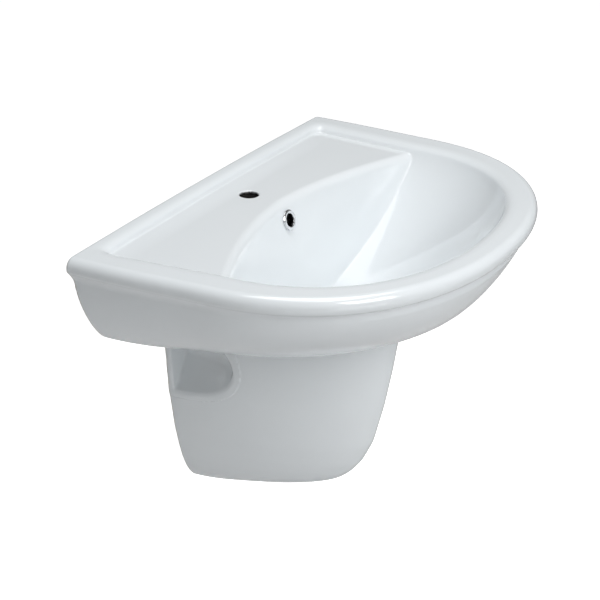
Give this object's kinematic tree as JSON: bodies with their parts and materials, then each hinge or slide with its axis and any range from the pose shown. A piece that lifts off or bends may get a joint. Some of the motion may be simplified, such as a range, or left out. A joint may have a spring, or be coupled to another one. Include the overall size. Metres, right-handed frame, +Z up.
{
  "type": "wall-hung washbasin with semi-pedestal",
  "caption": "White china wall-hung washbasin with a rear deck, oval bowl and overflow, on a semi-pedestal that hides a click waste and a chrome bottle trap.",
  "frame": {"origin": "on the wall face, midway between the two basin fixings, 65 mm below the rim", "axes": "+X along the wall to the right as seen from the room, +Y into the wall, +Z up"},
  "size_m": [0.6298, 0.4514, 0.4524],
  "materials": {
    "china": "white china with a clear gloss glaze",
    "chrome": "polished chrome plate",
    "brass": "bare turned brass",
    "steel": "zinc-plated steel",
    "rubber": "black moulded rubber",
    "white_plastic": "white moulded plastic",
    "grey_plastic": "grey moulded plastic"
  },
  "bodies": {
    "fixed": {"basin": "china", "semi_pedestal": "china", "overflow_ring": "chrome", "waste_body": "chrome", "waste_flange_seal": "rubber", "waste_lower_washer": "rubber", "waste_back_nut": "brass", "plug_cartridge": "grey_plastic", "trap_inlet_washer": "rubber", "trap_inlet_tube": "chrome", "trap_coupling_nut": "chrome", "trap_body": "chrome", "trap_top_seal": "rubber", "trap_top_nut": "chrome", "trap_outlet_pipe": "chrome", "trap_outlet_seal": "rubber", "trap_outlet_nut": "chrome", "wall_rosette": "chrome", "basin_stud_left": "steel", "stud_sleeve_left": "grey_plastic", "stud_washer_left": "steel", "stud_nut_left": "steel", "pedestal_screw_left": "steel", "screw_bush_left": "white_plastic", "screw_cap_left": "white_plastic", "basin_stud_right": "steel", "stud_sleeve_right": "grey_plastic", "stud_washer_right": "steel", "stud_nut_right": "steel", "pedestal_screw_right": "steel", "screw_bush_right": "white_plastic", "screw_cap_right": "white_plastic"},
    "plug": {"plug_stem": "brass", "plug_cap": "chrome", "plug_seal": "rubber"},
    "cup_carriage": {"trap_cup_seal": "rubber"},
    "cup": {"trap_cup": "chrome"}
  },
  "joints": [
    {"name": "plug_lift", "type": "slide", "parent": "fixed", "child": "plug", "axis": [0, 0, 1], "range_m": [0, 0.008]},
    {"name": "trap_cup_drop", "type": "slide", "parent": "fixed", "child": "cup_carriage", "axis": [0, 0, -1], "range_m": [0, 0.01]},
    {"name": "trap_cup_turn", "type": "hinge", "parent": "cup_carriage", "child": "cup", "pos_m": [0, -0.206, -0.26], "axis": [0, 0, -1], "range_deg": [0, 900]}
  ],
  "couplings": [
    {"joint": "trap_cup_drop", "follows": "trap_cup_turn", "m_per_rad": 0.00063662}
  ]
}
